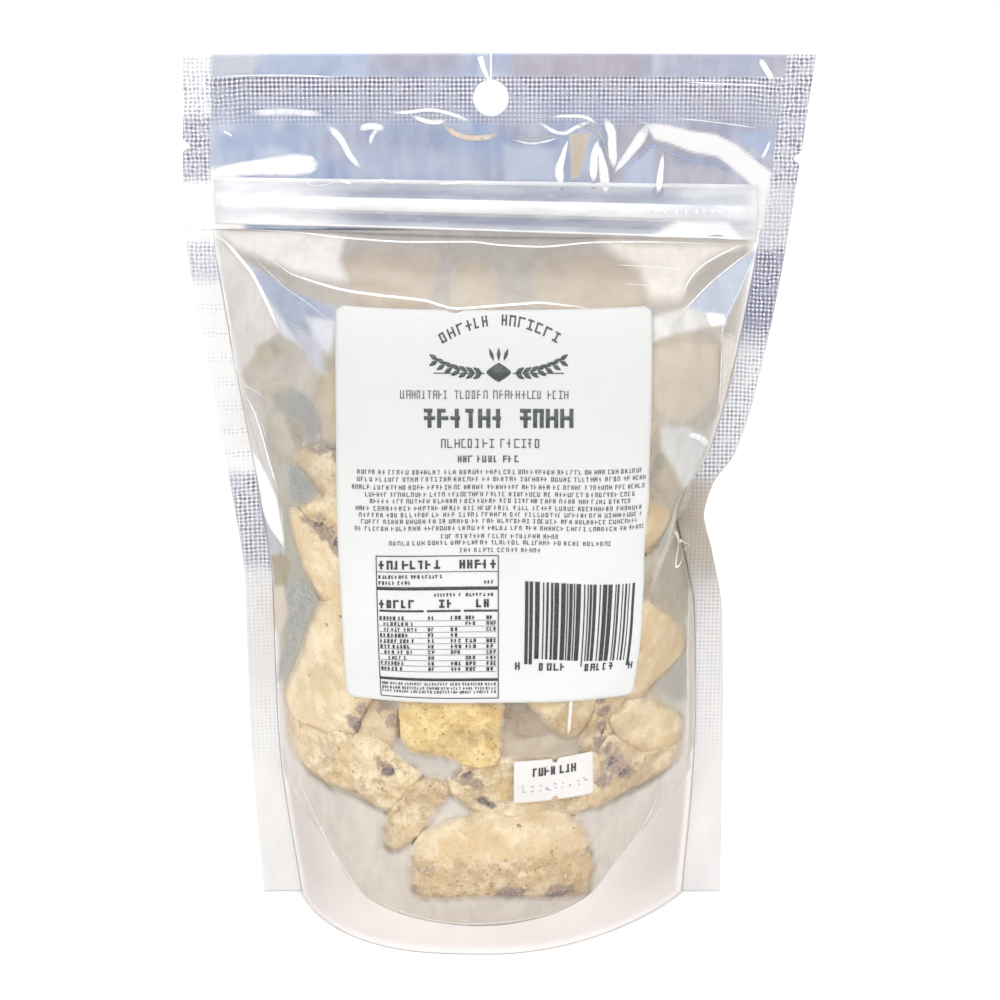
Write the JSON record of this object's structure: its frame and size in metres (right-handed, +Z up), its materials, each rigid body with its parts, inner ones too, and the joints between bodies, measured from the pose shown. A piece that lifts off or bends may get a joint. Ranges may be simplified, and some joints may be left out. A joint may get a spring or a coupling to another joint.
{
  "type": "stand-up pouch of biscotti pieces",
  "caption": "Clear-fronted, silver-backed stand-up zip pouch filled with broken biscotti pieces, with hang hole, paper label and date tag.",
  "frame": {"origin": "under the middle of the bounding box, on the surface that the pouch stands on", "axes": "+Z up along the pouch's height, -Y out of its front, +X to the right as seen from the front"},
  "size_m": [0.154, 0.0792, 0.226],
  "materials": {
    "film": "clear glossy film in front, silver metallised film behind, embossed heat seals",
    "zip": "milky clear press-to-close strip",
    "label_paper": "smooth satin white label paper with dark grey print",
    "tag_paper": "matt white tag paper with faint print",
    "biscuit": "matt baked crumb, pale golden, with a smoother tan crust",
    "chocolate": "satin dark chocolate",
    "almond": "matt toasted almond and toffee"
  },
  "bodies": {
    "root": {"pouch": "film", "zip_strip": "zip", "label": "label_paper", "date_tag": "tag_paper"}
  },
  "joints": []
}
